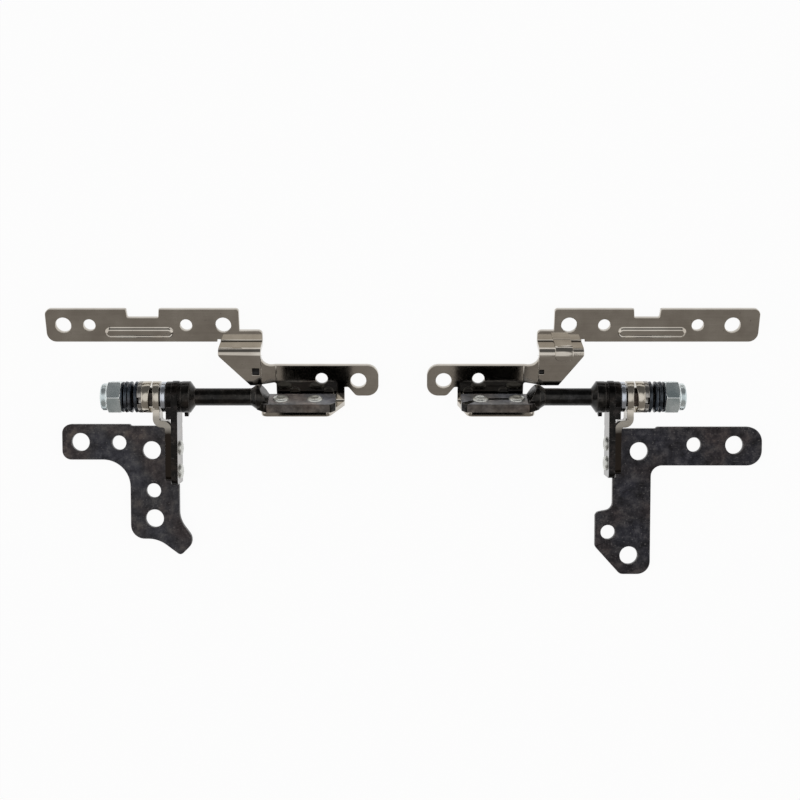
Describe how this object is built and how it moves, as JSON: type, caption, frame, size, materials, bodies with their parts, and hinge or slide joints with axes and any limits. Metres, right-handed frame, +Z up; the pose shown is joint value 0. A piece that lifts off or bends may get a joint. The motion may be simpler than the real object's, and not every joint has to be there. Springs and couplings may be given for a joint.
{
  "type": "laptop hinge pair",
  "caption": "Left and right friction hinges of a laptop: flat base plates with screw holes, a shaft with cams, disc springs and nut, and stepped strips for the display.",
  "frame": {"origin": "middle of the pair's bounding box, on the plane that the base plates lie on", "axes": "+X along both hinge axes from left to right, +Y towards the display strips, +Z up"},
  "size_m": [0.1076, 0.0404, 0.0061],
  "materials": {
    "black_steel": "black oxide, mottled",
    "nickel_steel": "nickel plated, satin",
    "dark_nickel_steel": "nickel plated, dark",
    "bright_steel": "polished",
    "rivet_steel": "pressed, satin",
    "spring_steel": "blued",
    "zinc_steel": "zinc plated",
    "nylon": "natural"
  },
  "bodies": {
    "base_side": {"left_base_bracket": "black_steel", "left_cam_bracket": "nickel_steel", "left_ear_rivets": "rivet_steel", "left_friction_plate": "black_steel", "right_base_bracket": "black_steel", "right_cam_bracket": "nickel_steel", "right_ear_rivets": "rivet_steel", "right_friction_plate": "black_steel"},
    "left_display_side": {"left_display_bracket": "nickel_steel", "left_shaft": "black_steel", "left_tongue_rivets": "rivet_steel", "left_stop_washer": "bright_steel", "left_thrust_washer": "bright_steel", "left_turning_cam": "nickel_steel", "left_key_washer": "dark_nickel_steel", "left_disc_springs": "spring_steel", "left_end_washer": "spring_steel", "left_lock_nut": "zinc_steel", "left_nut_insert": "nylon"},
    "right_display_side": {"right_display_bracket": "nickel_steel", "right_shaft": "black_steel", "right_tongue_rivets": "rivet_steel", "right_stop_washer": "bright_steel", "right_thrust_washer": "bright_steel", "right_turning_cam": "nickel_steel", "right_key_washer": "dark_nickel_steel", "right_disc_springs": "spring_steel", "right_end_washer": "spring_steel", "right_lock_nut": "zinc_steel", "right_nut_insert": "nylon"}
  },
  "joints": [
    {"name": "left_hinge", "type": "hinge", "parent": "base_side", "child": "left_display_side", "pos_m": [-0.03355, 0.00694, 0.0035], "axis": [1, 0, 0], "range_deg": [0, 161]},
    {"name": "right_hinge", "type": "hinge", "parent": "base_side", "child": "right_display_side", "pos_m": [0.0299, 0.00694, 0.0035], "axis": [1, 0, 0], "range_deg": [0, 161]}
  ]
}
